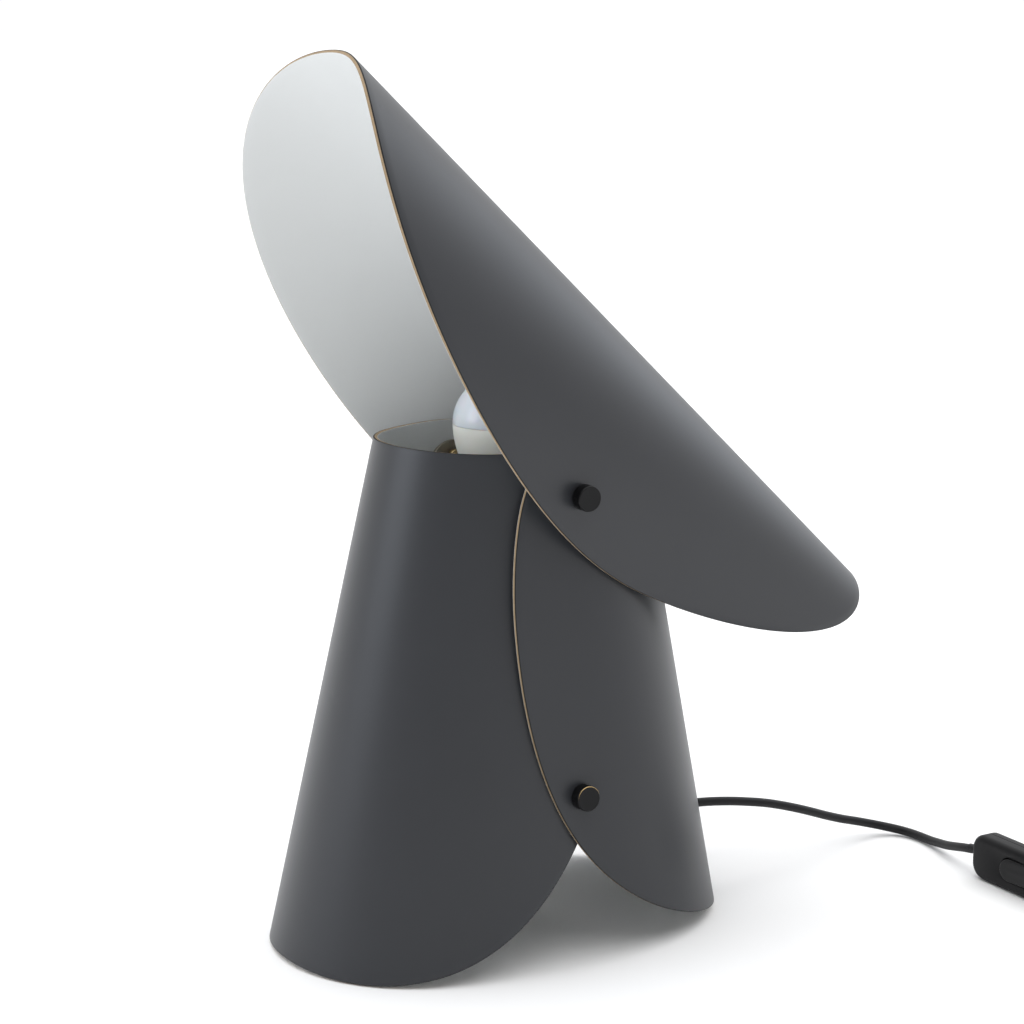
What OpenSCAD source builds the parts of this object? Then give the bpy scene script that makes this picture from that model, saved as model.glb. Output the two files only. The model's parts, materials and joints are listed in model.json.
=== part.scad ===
// Table lamp of three bent laminate sheets. Two sheets stand back to back as the base and lap at their sides.
// The third is clamped across them as the shade and tilts on two knob screws. +Z is up, the light opening faces -Y,
// the mains cord leaves at +Y, and z = 0 is the table.

/* [Sheets] */
// Thickness of the core of every sheet
core_thickness = 1.6; // [1.4:0.1:1.6]
// Thickness of the dark face
face_thickness = 0.7; // [0.6:0.1:0.7]
// Thickness of the white liner
liner_thickness = 0.2; // [0.1:0.1:0.2]
// Flat steps from the spine of a sheet to the end of its flap
bend_steps = 46; // [24:1:48]

/* [Shade] */
// Distance of the shade's reference point behind the origin
shade_y = -118.3; // [-119:0.1:-117.5]
// Height of the shade's reference point
shade_z = 468; // [466:0.5:470]
// Angle between the shade's spine and the vertical
shade_lean = 47.3; // [46.5:0.1:48]
// Length of sheet, from the spine, over which the shade bends
shade_bend = 302; // [298:1:306]
// Half the width of the shade's blank
shade_half = 245; // [240:1:248]

/* [Front sheet] */
// Distance of the front sheet's reference point behind the origin
front_y = -146.8; // [-147.5:0.1:-146]
// Height of the front sheet's reference point
front_z = 191.9; // [191.8:0.1:193]
// Angle between the front sheet's spine and the vertical
front_lean = 13.2; // [13:0.1:13.4]
// Length of sheet, from the spine, over which the front sheet bends
front_bend = 164; // [163:1:165]
// Half the width of the front sheet's blank
front_half = 178; // [176:1:179]

/* [Rear sheet] */
// Distance of the rear sheet's reference point behind the origin
rear_y = 30.2; // [29.7:0.1:30.7]
// Height of the rear sheet's reference point
rear_z = 267; // [267:0.1:268]
// Angle between the rear sheet's spine and the vertical
rear_lean = 10.7; // [10.5:0.1:10.9]
// Length of sheet, from the spine, over which the rear sheet bends
rear_bend = 120; // [119:1:121]
// Half the width of the rear sheet's blank
rear_half = 158; // [156:1:159]

/* [Knobs and screws] */
// Height of the shade's tilt axis
pivot_z = 264.5; // [263.5:0.5:265.5]
// Distance of the shade's tilt axis behind the origin
pivot_y = -49.3; // [-50:0.1:-48.5]
// Height of the lower screws
lower_z = 96.3; // [94:0.1:98]
// Diameter of a clamp knob
knob_d = 14.4; // [12:0.1:16]
// Height of a clamp knob
knob_h = 7.2; // [6:0.1:9]
// Diameter of the screws
screw_d = 5; // [4:0.5:6]

/* [Lamp holder and bulb] */
// Width of the steel bracket between the flaps
bracket_w = 30; // [26:1:30]
// Height of the bracket's strap, on which the holder stands
strap_z = 200; // [198:1:204]
// Radius of the bulb at its widest circle
bulb_r = 27.4; // [24:0.2:28]
// Height of the bulb's widest circle
bulb_z = 293; // [291:1:294]

/* [Cord] */
// Diameter of the mains cord
cord_d = 5.5; // [5:0.5:5.5]
// Length of the in-line switch
switch_l = 84; // [80:1:84]
// Height of the in-line switch, which stands on its side
switch_h = 28; // [26:1:28]
// Depth of the in-line switch
switch_w = 15.5; // [14:0.5:16]

/* [Hidden] */
$fn = 64;

face_colour = [0.25, 0.26, 0.28];
core_colour = [0.62, 0.53, 0.42];
liner_colour = [0.85, 0.85, 0.81];
black = [0.08, 0.08, 0.09];
steel = [0.62, 0.61, 0.58];
brass = [0.72, 0.58, 0.33];

// A sheet is a list: [way its flaps point, y, z, lean, bend length, ease of the bend, growth of its section for each
// metre down, toe-in, length over which the toe-in settles, half width of the blank, middle of the outline along the
// spine, reach up, reach down, top outline, bottom outline]. An outline is [power, root, three swell factors].
shade = [-1, shade_y, shade_z, shade_lean, shade_bend, 1.43, -1.445, 0, 50, shade_half, 260, 307.5, 161.9,
    [2.23, 1.82, 0.68, -2.33, 1.29], [2.36, 1.99, 0.78, -0.9, 0.5]];
front = [1, front_y, front_z, front_lean, front_bend, 0.6, 1.385, -6.36, 53, front_half, -16.5, 82, 211.4,
    [12.2, 1, 0.43, 0.02, -0.06], [2.45, 1.31, 0.29, -0.26, 0.13]];
rear = [-1, rear_y, rear_z, rear_lean, rear_bend, 0.23, 1.35, 0.86, 50, rear_half, 47.5, 90.5, 224,
    [15.24, 1.95, -4.86, 10.94, -6.32], [2.1, 2.04, -0.04, 0.14, 0]];

half_sheet = (core_thickness + face_thickness + liner_thickness) / 2;
// Bonded plies stay this far apart
bond = 0.02;

// Flaps lean in by this angle at their screws, so what lies on them leans too
flap_angle = 5.4;
pivot = [0, pivot_y, pivot_z];
// Distances from the middle plane to the parts of the right-hand pivot
nut_x = 54;
arm_x = 62;
spacer_x = 71;
spacer_end_x = 79.4;
knob_x = 85;
screw_hole_d = screw_d + 0.2;
// Middles of the right-hand lower screw's knob seat and of its washer, along the tilted screw
lower_point = [84, -49.6, lower_z];
lower_knob_at = 2.3;
lower_washer_at = -5.9;

holder_y = -51.3;
holder_top_z = 249;
cap_top_z = 251;

relief_drop = 6;
relief_wall = [0, 72.8, 48];
relief_l = 12;

coil_centre = [175, 310, 0];
coil_inner_r = 23;
coil_outer_r = 46;
coil_floor = 1;
coil_h = 11.4;
switch_x = 86;
switch_y = 231.5;
switch_axis_z = switch_h / 2;
switch_middle = [switch_x + switch_l / 2, switch_y + switch_w / 2, switch_axis_z];
plug_entry = [118, 353, 7.5];

// Centre lines of the cord, point by point
run_route = [[0, 84.8, 46.7], [0, 98, 45.3], [0, 112, 43.2], [0, 125, 40.7], [0, 138, 37.8], [-0.4, 151, 34],
    [-1.2, 164, 29.6], [-2.5, 177, 24.7], [-4, 190, 19.6], [-5.4, 203, 14.9], [-6.2, 215, 11.2], [-5.6, 225.5, 8],
    [-2.6, 234.8, 5.4], [3.2, 242, 3.7], [11, 246, 2.95], [20, 247.4, 2.8], [30, 247, 3.3], [40, 245.4, 4.8],
    [50, 243.1, 6.8], [60, 241, 9.3], [70, 239.6, 11.8], [78, 239.2, 13.3], [85.9, 239.25, 14]];
tail_route = [[170.1, 239.25, 14], [178, 239.4, 13.2], [187, 240.6, 10.6], [196, 244, 7.2], [204, 250.4, 4.4],
    [210.4, 258.6, 3.4], [214.6, 268.5, 3.3], [217, 281, 3.5], [217.9, 294, 3.7], [218, 310, 3.75]];
plug_route = [[175, 353, 9.35], [165, 353, 9.35], [155, 353, 9.3], [145, 353, 8.9], [135, 353, 8.1],
    [126, 353, 7.6], [118.1, 353, 7.5]];
lead_route = [[0, -51.3, 184.9], [0, -51.3, 170], [0, -50.7, 156], [0, -49.2, 142], [0, -46.4, 128], [0, -42, 114.5],
    [0, -36.4, 101.6], [0, -29, 90], [0, -20, 79.6], [0, -9.4, 70.6], [0, 2.4, 63.4], [0, 15, 57.9],
    [0, 28, 53.9], [0, 41, 51.5], [0, 49, 50.55], [0, 56.8, 49.7]];

// ---------------------------------------------------------------- bent sheets

function spine_way(s) = [0, -s[0] * sin(s[3]), -cos(s[3])];
function flap_way(s) = [0, s[0] * cos(s[3]), -sin(s[3])];
function scale_at(s, along) = 1 + s[6] * along / 1000;
function smooth(t) = t <= 0 ? 0 : t >= 1 ? 1 : t * t * (3 - 2 * t);

// Direction of the section u mm from the spine: it bends towards 90 degrees plus the toe-in, which then settles
function turn(s, u) = u < s[4]
    ? (90 - s[7]) * (1 - pow(1 - u / s[4], s[5] + 1))
    : 90 - s[7] * (1 - smooth((u - s[4]) / s[8]));

// Distance of step i from the spine along the section: short steps towards the flap's end
function station(s, i) = s[9] * sin(88.5 * i / bend_steps);

// Points of the section, one for each step, by adding up short chords
function section(s, i = 0, p = [0, 0]) = i > bend_steps ? [] : let(
    a = station(s, i),
    b = station(s, i + 1),
    way = turn(s, (a + b) / 2)
) concat([p], section(s, i + 1, p + (b - a) * [cos(way), sin(way)]));

// Half height of the outline at w of the blank's half width
function swell(o, w) = pow(1 - pow(w, o[0]), 1 / o[1]) * (1 + o[2] * pow(w, 2) + o[3] * pow(w, 3) + o[4] * pow(w, 4));

// A point of the sheet: p on the section, moved out by d, at a distance along the spine
function sheet_point(s, p, way, side, d, along) = [0, s[1], s[2]] + along * spine_way(s)
    + (scale_at(s, along) * p[1] - d * cos(way)) * flap_way(s)
    + [side * (scale_at(s, along) * p[0] + d * sin(way)), 0, 0];

// The corners of one ruling: top outer, top inner, bottom inner, bottom outer
function ruling(s, p, i, side, inner, outer) = let(
    u = station(s, i),
    way = turn(s, u),
    w = u / s[9],
    top = s[10] - s[11] * swell(s[13], w),
    bottom = s[10] + s[12] * swell(s[14], w)
) [
    sheet_point(s, p, way, side, outer, top),
    sheet_point(s, p, way, side, inner, top),
    sheet_point(s, p, way, side, inner, bottom),
    sheet_point(s, p, way, side, outer, bottom)
];

// Faces of a strip that carries rings of n corners, and of its two ends
function strip_faces(rings, n) = concat(
    [for (i = [0 : rings - 2], j = [0 : n - 1])
        [i * n + j, i * n + (j + 1) % n, (i + 1) * n + (j + 1) % n, (i + 1) * n + j]],
    [[for (j = [n - 1 : -1 : 0]) j]],
    [[for (j = [0 : n - 1]) (rings - 1) * n + j]]
);

// One ply of a sheet, between two distances out from the sheet's middle surface
module ply(s, inner, outer) {
    line = section(s);
    rings = concat(
        [for (i = [bend_steps : -1 : 1]) ruling(s, line[i], i, -1, inner, outer)],
        [for (i = [0 : bend_steps]) ruling(s, line[i], i, 1, inner, outer)]
    );
    flip = s[0] < 0;
    corners = [for (r = rings) each (flip ? [r[3], r[2], r[1], r[0]] : r)];
    polyhedron(corners, strip_faces(2 * bend_steps + 1, 4), convexity = 6);
}

module face_ply(s) ply(s, half_sheet - face_thickness + bond, half_sheet);
module core_ply(s) ply(s, -half_sheet + liner_thickness, half_sheet - face_thickness);
module liner_ply(s) ply(s, -half_sheet, -half_sheet + liner_thickness - bond);

// Straight hole through both flaps at the tilt axis
module pivot_hole() translate(pivot) rotate([0, 90, 0]) cylinder(d = screw_hole_d, h = 240, center = true);

// Places its children at a screw square to the flaps, with +Z outwards
module right_side(point) translate(point) rotate([0, 90 - flap_angle, 0]) children();
module left_side(point) mirror([1, 0, 0]) right_side(point) children();
module both_sides(point) {
    right_side(point) children();
    left_side(point) children();
}

module lower_holes() both_sides(lower_point) cylinder(d = screw_hole_d, h = 16, center = true);

// Where the strain relief passes the rear sheet
module relief_axis() translate(relief_wall) rotate([-90 - relief_drop, 0, 0]) children();
module relief_hole() relief_axis() cylinder(d = 8.6, h = 20, center = true);

module drilled_base() difference() {
    children();
    pivot_hole();
    lower_holes();
    relief_hole();
}
module drilled_shade() difference() {
    children();
    pivot_hole();
}

module shade_face() color(face_colour) drilled_shade() face_ply(shade);
module shade_core() color(core_colour) drilled_shade() core_ply(shade);
module shade_liner() color(liner_colour) drilled_shade() liner_ply(shade);
module front_sheet_face() color(face_colour) drilled_base() face_ply(front);
module front_sheet_core() color(core_colour) drilled_base() core_ply(front);
module front_sheet_liner() color(liner_colour) drilled_base() liner_ply(front);
module rear_sheet_face() color(face_colour) drilled_base() face_ply(rear);
module rear_sheet_core() color(core_colour) drilled_base() core_ply(rear);
module rear_sheet_liner() color(liner_colour) drilled_base() liner_ply(rear);

// ---------------------------------------------------------------- knobs, screws and the bracket

// A round piece turned about +Z from its half profile of [radius, height] points
module turned(profile) rotate_extrude() polygon(profile);

module ring(d, hole, h) difference() {
    cylinder(d = d, h = h);
    translate([0, 0, -1]) cylinder(d = hole, h = h + 2);
}

knob_edge = 0.8;
knob_bore_h = 5;
module knob() difference() {
    turned([[0, 0], [knob_d / 2 - 0.3, 0], [knob_d / 2, 0.3], [knob_d / 2, knob_h - knob_edge],
        [knob_d / 2 - knob_edge, knob_h], [0, knob_h]]);
    translate([0, 0, -1]) cylinder(d = screw_d + 0.04, h = knob_bore_h + 1);
}

// Places its children on the tilt axis at a distance from the middle plane, with +Z outwards
module at_right(x) translate(pivot + [x, 0, 0]) rotate([0, 90, 0]) children();
module at_left(x) mirror([1, 0, 0]) at_right(x) children();

screw_start = nut_x - 1.5;
module upper_screw() cylinder(d = screw_d, h = knob_x + knob_bore_h - 0.05 - screw_start);

module upper_knob_right() color(black) at_right(knob_x) knob();
module upper_knob_left() color(black) at_left(knob_x) knob();
module upper_screw_right() color(brass) at_right(screw_start) upper_screw();
module upper_screw_left() color(brass) at_left(screw_start) upper_screw();

module pivot_spacers() color(steel) {
    at_right(spacer_x) ring(14, screw_hole_d, spacer_end_x - spacer_x);
    at_left(spacer_x) ring(14, screw_hole_d, spacer_end_x - spacer_x);
}

nut_d = 10;
nut_h = 4;
module upper_nuts() color(brass) {
    at_right(nut_x) ring(nut_d, screw_hole_d, nut_h);
    at_left(nut_x) ring(nut_d, screw_hole_d, nut_h);
}

lower_screw_start = lower_washer_at - 5.5;
module lower_screw() translate([0, 0, lower_screw_start])
    cylinder(d = screw_d, h = lower_knob_at + knob_bore_h - 0.05 - lower_screw_start);

module lower_knob_right() color(black) right_side(lower_point) translate([0, 0, lower_knob_at]) knob();
module lower_knob_left() color(black) left_side(lower_point) translate([0, 0, lower_knob_at]) knob();
module lower_screw_right() color(brass) right_side(lower_point) lower_screw();
module lower_screw_left() color(brass) left_side(lower_point) lower_screw();
module lower_washers() color(steel) both_sides(lower_point)
    translate([0, 0, lower_washer_at]) ring(12, screw_hole_d, 1);
module lower_nuts() color(brass) both_sides(lower_point)
    translate([0, 0, lower_washer_at - nut_h - 0.1]) ring(9, screw_hole_d, nut_h);

plate = 2;
arm_end_drop = 5;
arm_l = 63;
module bracket_arm() {
    translate(pivot + [arm_x, 0, 0]) rotate([0, -flap_angle, 0]) translate([-plate, 0, 0]) {
        translate([0, 0, -arm_end_drop]) rotate([0, 90, 0]) cylinder(r = bracket_w / 2, h = plate);
        translate([0, -bracket_w / 2, -arm_end_drop - arm_l + 5]) cube([plate, bracket_w, arm_l - 5]);
    }
}

strap_half = 66.6;
module holder_bracket() color(steel) difference() {
    union() {
        bracket_arm();
        mirror([1, 0, 0]) bracket_arm();
        translate([-strap_half, pivot_y - bracket_w / 2, strap_z - plate])
            cube([2 * strap_half, bracket_w, plate]);
    }
    pivot_hole();
    translate([0, holder_y, strap_z]) cylinder(d = 10.2, h = 10, center = true);
}

// ---------------------------------------------------------------- lamp holder and bulb

module on_holder_axis(z) translate([0, holder_y, z]) children();

holder_h = holder_top_z - strap_z - 0.1;
module holder_body() color(black) on_holder_axis(strap_z + 0.1) turned([[5.1, 0], [16, 0], [19, 3],
    [19, holder_h - 13], [20.5, holder_h - 12], [20.5, holder_h - 1], [19.5, holder_h], [16.2, holder_h],
    [16.2, 4], [5.1, 4]]);

module holder_sleeve() color(brass) on_holder_axis(strap_z + 20)
    turned([[13.8, 0], [15, 0], [15, 26], [13.8, 26]]);

module holder_contact() color(brass) on_holder_axis(strap_z + 14.4) {
    translate([-4, -12, 0]) cube([8, 24, 0.8]);
    translate([0, 0, 0.8]) cylinder(d = 6, h = 6);
}

nipple_bottom_z = strap_z - 15;
module holder_nipple() color(brass) on_holder_axis(nipple_bottom_z)
    ring(10, 6.2, strap_z + 9 - nipple_bottom_z);

module holder_locknut() color(steel) on_holder_axis(strap_z - plate - 4.1) ring(16, 10.1, 4);

cap_l = 24;
module bulb_cap() color(steel) on_holder_axis(cap_top_z - cap_l)
    turned([[5, 0], [9, 0], [13, 4], [13, cap_l - 0.1], [11.6, cap_l - 0.1], [11.6, 5], [5, 1.2]]);

module bulb_tip() color(brass) on_holder_axis(cap_top_z - cap_l - 2) turned([[0, 0], [3, 0], [4.6, 2], [4.6, 3.2],
    [0, 3.2]]);

// The housing widens from the cap to the widest circle along a sine curve
housing_h = bulb_z - cap_top_z;
function housing_r(t) = 14.2 + (bulb_r - 14.2) * pow(sin(90 * t), 1.15);
housing_wall = 1.6;
module bulb_housing() color([0.9, 0.89, 0.84]) on_holder_axis(cap_top_z) turned(concat(
    [for (i = [0 : 12]) [housing_r(i / 12), housing_h * i / 12]],
    [for (i = [12 : -1 : 0]) [housing_r(i / 12) - housing_wall, housing_h * i / 12]]));

board_r = 24.6;
module bulb_board() color([0.8, 0.8, 0.78]) on_holder_axis(bulb_z - 4) {
    cylinder(r = board_r, h = 1.6);
    for (i = [0 : 11]) rotate([0, 0, 30 * i]) translate([17, -1.75, 1.6]) cube([2.8, 3.5, 0.7]);
}

dome_wall = 1.2;
module bulb_dome() color([0.93, 0.93, 0.95]) on_holder_axis(bulb_z + 0.05) turned(concat(
    [for (a = [0 : 6 : 90]) bulb_r * [cos(a), sin(a)]],
    [for (a = [90 : -6 : 0]) (bulb_r - dome_wall) * [cos(a), sin(a)]]));

// ---------------------------------------------------------------- cord

// A round tube through the points of a route: each ring is square to the line between its neighbours
module tube(route, d, sides, level) {
    n = len(route);
    rings = [for (i = [0 : n - 1]) let(
        along = route[min(i + 1, n - 1)] - route[max(i - 1, 0)],
        side = cross(along, level) / norm(cross(along, level)),
        up = cross(side, along) / norm(along)
    ) each [for (j = [0 : sides - 1])
        route[i] + d / 2 * (cos(360 * j / sides) * side + sin(360 * j / sides) * up)]];
    polyhedron(rings, strip_faces(n, sides), convexity = 8);
}

module inner_lead() color(black) tube(lead_route, 6, 10, [1, 0, 0]);
module cord_run() color(black) tube(run_route, cord_d, 10, [0, 0, 1]);
module cord_tail() color(black) tube(tail_route, cord_d, 10, [0, 0, 1]);
module plug_lead() color(black) tube(plug_route, cord_d, 10, [0, 0, 1]);

module cord_coil() color(black) translate(coil_centre) turned([[coil_inner_r + 2, coil_floor],
    [coil_outer_r - 2, coil_floor], [coil_outer_r, coil_floor + 2], [coil_outer_r, coil_floor + coil_h - 2],
    [coil_outer_r - 2, coil_floor + coil_h], [coil_inner_r + 2, coil_floor + coil_h],
    [coil_inner_r, coil_floor + coil_h - 2], [coil_inner_r, coil_floor + 2]]);

tie_gap = 0.1;
tie_thickness = 0.8;
module cord_tie() color([0.15, 0.15, 0.16]) translate(coil_centre) rotate([0, 0, 190]) rotate_extrude(angle = 20)
difference() {
    translate([coil_inner_r - tie_gap - tie_thickness, coil_floor - tie_gap - tie_thickness])
        square([coil_outer_r - coil_inner_r + 2 * (tie_gap + tie_thickness), coil_h + 2 * (tie_gap + tie_thickness)]);
    translate([coil_inner_r - tie_gap, coil_floor - tie_gap])
        square([coil_outer_r - coil_inner_r + 2 * tie_gap, coil_h + 2 * tie_gap]);
}

// The relief tapers along the cord outside the sheet and has a flange and a thread inside it
relief_inner_l = 16;
module strain_relief() color(black) relief_axis() difference() {
    turned([[0, -relief_inner_l], [4.2, -relief_inner_l], [4.2, 2], [6, 2], [6, 4.5], [4, relief_l],
        [0, relief_l]]);
    translate([0, 0, -relief_inner_l - 1]) cylinder(d = 6.1, h = relief_inner_l + 1);
}
module strain_relief_nut() color(steel) relief_axis() translate([0, 0, -8.4]) ring(15, 8.6, 3);

// ---------------------------------------------------------------- in-line switch

// Outline with round corners, as squares and circles
module soft_rectangle(l, h, r) {
    square([l - 2 * r, h], center = true);
    square([l, h - 2 * r], center = true);
    for (x = [-1, 1], y = [-1, 1]) translate([x * (l / 2 - r), y * (h / 2 - r)]) circle(r);
}

// A slab of the switch: its outline extruded from one depth behind the front to another
module switch_slab(inset, from, to) translate([switch_middle[0], switch_y + to, switch_axis_z]) rotate([90, 0, 0])
    linear_extrude(to - from) soft_rectangle(switch_l - 2 * inset, switch_h - 2 * inset, 8 - inset);

module cord_holes() translate(switch_middle) rotate([0, 90, 0])
    cylinder(d = cord_d + 0.3, h = switch_l + 2, center = true);

module screw_holes(d) for (side = [-1, 1]) translate(switch_middle + [side * 32, 0, 0])
    rotate([90, 0, 0]) cylinder(d = d, h = switch_w + 2, center = true);

switch_wall = 2;
rocker_l = 28;
rocker_h = 14;
rocker_pin_d = 3;
rocker_rest = 4;
rocker_axis_y = switch_y + 6;
module rocker_place() translate([switch_middle[0], rocker_axis_y, switch_axis_z]) children();

module switch_cover() color(black) difference() {
    union() {
        difference() {
            switch_slab(0, 0, switch_w / 2 - 0.05);
            switch_slab(switch_wall, switch_wall, switch_w);
        }
        for (side = [-1, 1]) rocker_place() translate([-3, -4.2, side * 9.2 - 1.2]) cube([6, 6.5, 2.4]);
        for (side = [-1, 1]) translate([switch_middle[0] + side * 32, switch_y + 0.5, switch_axis_z])
            rotate([-90, 0, 0]) cylinder(d = 6, h = switch_w / 2 - 0.6);
    }
    cord_holes();
    rocker_place() cylinder(d = rocker_pin_d + 0.2, h = 24, center = true);
    translate([switch_middle[0], switch_y + 3, switch_axis_z]) rotate([90, 0, 0]) linear_extrude(5)
        soft_rectangle(rocker_l + 1.4, rocker_h + 0.8, 7.3);
    translate([0, 3, 0]) screw_holes(2);
}

module switch_base() color(black) difference() {
    union() {
        difference() {
            switch_slab(0, switch_w / 2 + 0.05, switch_w);
            switch_slab(switch_wall, 0, switch_w - switch_wall);
        }
        for (side = [-1, 1]) translate([switch_middle[0] + side * 32, switch_middle[1] + 0.1, switch_axis_z])
            rotate([-90, 0, 0]) cylinder(d = 6, h = switch_w / 2 - 0.6);
    }
    cord_holes();
    screw_holes(2.9);
}

module switch_rocker() color([0.1, 0.1, 0.11]) rocker_place() rotate([0, 0, rocker_rest]) union() {
    translate([0, -1, 0]) rotate([90, 0, 0]) linear_extrude(6.4) soft_rectangle(rocker_l, rocker_h, 6.9);
    translate([-2, -2, -rocker_h / 2 + 0.5]) cube([4, 4, rocker_h - 1]);
    cylinder(d = rocker_pin_d, h = 20, center = true);
}

module switch_screws() color(steel) for (side = [-1, 1])
    translate([switch_middle[0] + side * 32, switch_y + switch_w - 0.3, switch_axis_z]) rotate([90, 0, 0])
        cylinder(d = 1.9, h = 12);

module switch_contacts() color(brass) for (side = [-1, 1])
    translate(switch_middle + [side * 9 - 4, 2.2, -4]) cube([8, 1, 8]);

// ---------------------------------------------------------------- plug

pin_gap = 19;
plug_body_l = 34;
plug_neck_l = 24;
module plug_body() color(black) translate(plug_entry) rotate([0, -90, 0]) difference() {
    hull() {
        cylinder(d = 8, h = 2, $fn = 24);
        translate([0, 0, plug_neck_l - 2]) cylinder(d = 13, h = 2, $fn = 24);
        for (side = [-1, 1]) translate([0, side * 10, plug_neck_l]) cylinder(d = 14.6, h = plug_body_l - 12, $fn = 24);
    }
    for (side = [-1, 1]) translate([0, side * pin_gap / 2, plug_neck_l + 6]) cylinder(d = 4.1, h = 40);
}
pins_start = plug_neck_l + 8;
module plug_pins() color(steel) for (side = [-1, 1])
    translate(plug_entry + [-pins_start, side * pin_gap / 2, 0]) rotate([0, -90, 0])
        turned([[0, 0], [2, 0], [2, 32], [1, 33], [0, 33]]);

shade_face();
shade_core();
shade_liner();
front_sheet_face();
front_sheet_core();
front_sheet_liner();
rear_sheet_face();
rear_sheet_core();
rear_sheet_liner();
upper_knob_right();
upper_knob_left();
upper_screw_right();
upper_screw_left();
pivot_spacers();
upper_nuts();
lower_knob_right();
lower_knob_left();
lower_screw_right();
lower_screw_left();
lower_washers();
lower_nuts();
holder_bracket();
holder_body();
holder_sleeve();
holder_contact();
holder_nipple();
holder_locknut();
bulb_cap();
bulb_tip();
bulb_housing();
bulb_board();
bulb_dome();
inner_lead();
strain_relief();
strain_relief_nut();
cord_run();
switch_cover();
switch_base();
switch_rocker();
switch_screws();
switch_contacts();
cord_tail();
cord_coil();
cord_tie();
plug_lead();
plug_body();
plug_pins();
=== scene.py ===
import json
from dataclasses import dataclass

import bpy
import numpy as np
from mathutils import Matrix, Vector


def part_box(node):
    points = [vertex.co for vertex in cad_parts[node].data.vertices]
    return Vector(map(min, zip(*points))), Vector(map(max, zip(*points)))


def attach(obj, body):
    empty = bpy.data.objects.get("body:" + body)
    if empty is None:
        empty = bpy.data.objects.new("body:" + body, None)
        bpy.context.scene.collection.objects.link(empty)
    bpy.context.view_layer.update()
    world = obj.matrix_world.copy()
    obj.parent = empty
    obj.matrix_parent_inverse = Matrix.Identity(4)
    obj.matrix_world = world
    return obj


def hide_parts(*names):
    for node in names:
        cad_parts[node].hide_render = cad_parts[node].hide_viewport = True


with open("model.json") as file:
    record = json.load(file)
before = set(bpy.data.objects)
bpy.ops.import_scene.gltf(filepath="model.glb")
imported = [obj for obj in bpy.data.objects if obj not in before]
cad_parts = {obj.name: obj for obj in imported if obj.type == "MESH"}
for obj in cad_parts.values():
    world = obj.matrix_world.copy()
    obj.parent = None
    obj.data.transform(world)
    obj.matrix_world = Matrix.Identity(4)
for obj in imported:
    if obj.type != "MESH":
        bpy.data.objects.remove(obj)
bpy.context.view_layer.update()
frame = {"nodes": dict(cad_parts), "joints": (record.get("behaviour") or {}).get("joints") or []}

bl_info = {
    "name": "Bent Sheet Lamp",
    "version": (1, 0, 0),
    "blender": (4, 5, 0),
    "location": "View3D > Sidebar > Bent Lamp",
    "description": "Builds a table lamp of three bent laminate sheets, with its bulb, cord, switch and plug",
    "category": "Add Mesh",
}

MM = 0.001


# ---------------------------------------------------------------- settings


class LampSheetSettings(bpy.types.PropertyGroup):
    """Sizes and colours of the bent sheets."""

    core: bpy.props.FloatProperty(
        name="Core", description="Thickness of the pressed core", default=1.6 * MM, unit="LENGTH"
    )
    face: bpy.props.FloatProperty(
        name="Face", description="Thickness of the dark face", default=0.7 * MM, unit="LENGTH"
    )
    liner: bpy.props.FloatProperty(
        name="Liner", description="Thickness of the white liner", default=0.2 * MM, unit="LENGTH"
    )
    rim_steps: bpy.props.IntProperty(
        name="Rim Steps", description="Points round the outline of a sheet", default=320, min=64
    )
    rings: bpy.props.IntProperty(
        name="Rings", description="Rings from the middle of a sheet to its rim", default=44, min=8
    )
    face_colour: bpy.props.FloatVectorProperty(
        name="Face Colour", description="Colour of the outer face", subtype="COLOR", size=3,
        default=(0.024, 0.0255, 0.0295),
    )
    core_colour: bpy.props.FloatVectorProperty(
        name="Core Colour", description="Colour of the cut core", subtype="COLOR", size=3, default=(0.30, 0.215, 0.125)
    )
    liner_colour: bpy.props.FloatVectorProperty(
        name="Liner Colour", description="Colour of the liner", subtype="COLOR", size=3, default=(0.651, 0.665, 0.66)
    )


class LampCordSettings(bpy.types.PropertyGroup):
    """Sizes and colour of the mains cord."""

    diameter: bpy.props.FloatProperty(
        name="Diameter", description="Diameter of the mains cord", default=5.5 * MM, unit="LENGTH"
    )
    length: bpy.props.FloatProperty(
        name="Length", description="Length of cord from the lamp to the plug", default=1.8, unit="LENGTH"
    )
    coil_radius: bpy.props.FloatProperty(
        name="Coil Radius", description="Radius of the coil's widest turn", default=43 * MM, unit="LENGTH"
    )
    turn_gap: bpy.props.FloatProperty(
        name="Turn Gap", description="Distance between neighbouring turns of the top layer", default=5.75 * MM,
        unit="LENGTH",
    )
    colour: bpy.props.FloatVectorProperty(
        name="Colour", description="Colour of the cord", subtype="COLOR", size=3, default=(0.008, 0.008, 0.009)
    )


class LampStageSettings(bpy.types.PropertyGroup):
    """Camera, light and floor."""

    azimuth: bpy.props.FloatProperty(
        name="Azimuth", description="Camera's angle round the lamp", default=np.radians(59.69), subtype="ANGLE"
    )
    elevation: bpy.props.FloatProperty(
        name="Elevation", description="Camera's angle above the table", default=np.radians(11.41), subtype="ANGLE"
    )
    distance: bpy.props.FloatProperty(
        name="Distance", description="From the camera to its target", default=1.4163, unit="LENGTH"
    )
    target: bpy.props.FloatVectorProperty(
        name="Target", description="Point that the camera looks at", default=(-0.0003, -0.0440, 0.2409),
        subtype="XYZ_LENGTH",
    )
    lens: bpy.props.FloatProperty(name="Lens", description="Focal length in millimetres", default=87.35, min=20)
    floor_colour: bpy.props.FloatVectorProperty(
        name="Floor", description="Colour of the floor", subtype="COLOR", size=3, default=(0.92, 0.92, 0.92)
    )
    sky_strength: bpy.props.FloatProperty(
        name="Backdrop", description="Strength of the white backdrop behind the lamp", default=1.03, min=0
    )
    fill_strength: bpy.props.FloatProperty(
        name="Fill", description="Strength of the dimmer light from the camera's side", default=0.46, min=0
    )


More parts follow.
